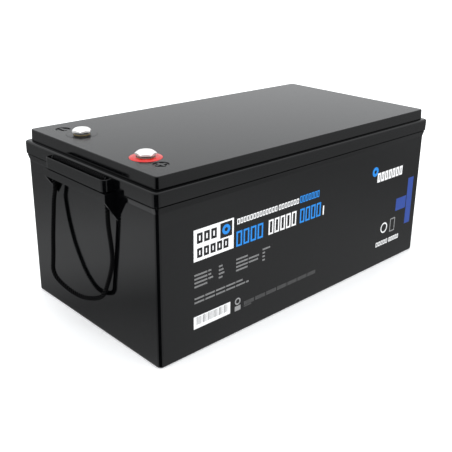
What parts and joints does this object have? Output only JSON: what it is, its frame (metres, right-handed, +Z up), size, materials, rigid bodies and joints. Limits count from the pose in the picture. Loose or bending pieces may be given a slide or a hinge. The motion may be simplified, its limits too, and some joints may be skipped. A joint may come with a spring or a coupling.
{
  "type": "deep cycle battery",
  "caption": "Boxy black deep-cycle battery with a bolted terminal pair at one end, rope carrying handles in brackets on both ends and a printed side panel.",
  "frame": {"origin": "centre of the underside, on the surface that the battery stands on", "axes": "+X along the long side away from the terminals, +Y across towards the negative terminal, +Z up"},
  "size_m": [0.5366, 0.268, 0.2275],
  "materials": {
    "housing_black": "moulded ABS, gloss",
    "label_film": "printed film, gloss",
    "rope_black": "three-strand twisted cord",
    "collar_red": "moulded, satin",
    "collar_black": "moulded, satin",
    "nickel_plate": "nickel plated",
    "steel": "zinc plated",
    "brass": "machined",
    "seal_rubber": "matte",
    "cell_can": "blue film over the can",
    "insulation_sheet": "matte sheet",
    "aluminium": "rolled",
    "foam": "closed-cell foam",
    "board_plate": "glass-epoxy sheet",
    "circuit_board": "solder mask",
    "connector_white": "moulded nylon",
    "lead_red": "silicone insulation",
    "lead_black": "silicone insulation"
  },
  "bodies": {
    "housing": {"busbar_1": "aluminium", "busbar_2": "aluminium", "busbar_3": "aluminium", "busbar_4": "aluminium", "busbar_5": "aluminium", "busbar_6": "aluminium", "busbar_7": "aluminium", "case": "housing_black", "cell_1": "cell_can", "cell_2": "cell_can", "cell_3": "cell_can", "cell_4": "cell_can", "cell_5": "cell_can", "cell_6": "cell_can", "cell_7": "cell_can", "cell_8": "cell_can", "cell_insulation_1": "insulation_sheet", "cell_insulation_2": "insulation_sheet", "cell_insulation_3": "insulation_sheet", "cell_insulation_4": "insulation_sheet", "cell_insulation_5": "insulation_sheet", "cell_insulation_6": "insulation_sheet", "cell_insulation_7": "insulation_sheet", "floor_pad": "foam", "front_end_plate": "aluminium", "front_rope_run": "rope_black", "heat_sink": "aluminium", "insulation_board": "board_plate", "lid": "housing_black", "lid_seal": "seal_rubber", "lower_strap": "steel", "management_board": "circuit_board", "negative_collar": "collar_black", "negative_insert": "brass", "negative_lead": "lead_black", "negative_post_seal": "seal_rubber", "negative_side_foam": "foam", "pack_negative_lead": "lead_black", "positive_collar": "collar_red", "positive_insert": "brass", "positive_lead": "lead_red", "positive_post_seal": "seal_rubber", "positive_side_foam": "foam", "rear_end_plate": "aluminium", "rear_rope_run": "rope_black", "sense_connector": "connector_white", "side_label": "label_film", "top_cover": "housing_black", "upper_strap": "steel"},
    "front_handle": {"front_rope_loop": "rope_black"},
    "rear_handle": {"rear_rope_loop": "rope_black"},
    "positive_washers": {"positive_flat_washer": "steel", "positive_spring_washer": "steel"},
    "positive_bolt": {"positive_bolt": "nickel_plate"},
    "negative_washers": {"negative_flat_washer": "steel", "negative_spring_washer": "steel"},
    "negative_bolt": {"negative_bolt": "nickel_plate"}
  },
  "joints": [
    {"name": "front_handle_swing", "type": "hinge", "parent": "housing", "child": "front_handle", "pos_m": [-0.2533, 0, 0.1761], "axis": [0, 1, 0], "range_deg": [0, 90]},
    {"name": "rear_handle_swing", "type": "hinge", "parent": "housing", "child": "rear_handle", "pos_m": [0.2533, 0, 0.1761], "axis": [0, -1, 0], "range_deg": [0, 90]},
    {"name": "positive_bolt_travel", "type": "slide", "parent": "housing", "child": "positive_washers", "axis": [0, 0, 1], "range_m": [0, 0.01125]},
    {"name": "positive_bolt_turn", "type": "hinge", "parent": "positive_washers", "child": "positive_bolt", "pos_m": [-0.2071, -0.0642, 0.2211], "axis": [0, 0, 1], "range_deg": [0, 3240]},
    {"name": "negative_bolt_travel", "type": "slide", "parent": "housing", "child": "negative_washers", "axis": [0, 0, 1], "range_m": [0, 0.01125]},
    {"name": "negative_bolt_turn", "type": "hinge", "parent": "negative_washers", "child": "negative_bolt", "pos_m": [-0.2071, 0.0642, 0.2211], "axis": [0, 0, 1], "range_deg": [0, 3240]}
  ],
  "couplings": [
    {"joint": "positive_bolt_travel", "follows": "positive_bolt_turn", "m_per_rad": 0.00019894},
    {"joint": "negative_bolt_travel", "follows": "negative_bolt_turn", "m_per_rad": 0.00019894}
  ]
}
